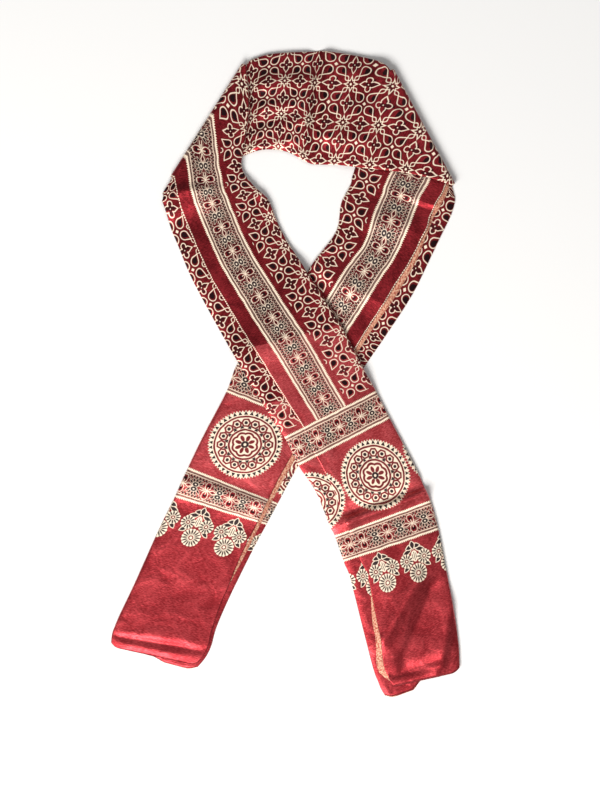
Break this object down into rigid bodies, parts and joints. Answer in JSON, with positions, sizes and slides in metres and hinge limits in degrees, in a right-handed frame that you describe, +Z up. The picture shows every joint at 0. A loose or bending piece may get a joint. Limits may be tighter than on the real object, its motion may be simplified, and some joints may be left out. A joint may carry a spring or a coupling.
{
  "type": "folded stole",
  "caption": "Long printed satin stole, folded lengthwise into a narrow strip and laid flat in a neck loop with its arms crossed below and both ends hanging free.",
  "frame": {"origin": "centre of the footprint, on the surface that the cloth lies on", "axes": "+Y from the two ends of the cloth towards the neck loop, +X towards the right arm of the loop, +Z up out of the surface"},
  "size_m": [0.5132, 0.9442, 0.0169],
  "materials": {
    "printed_satin": "satin"
  },
  "bodies": {
    "root": {"stole": "printed_satin"}
  },
  "joints": []
}
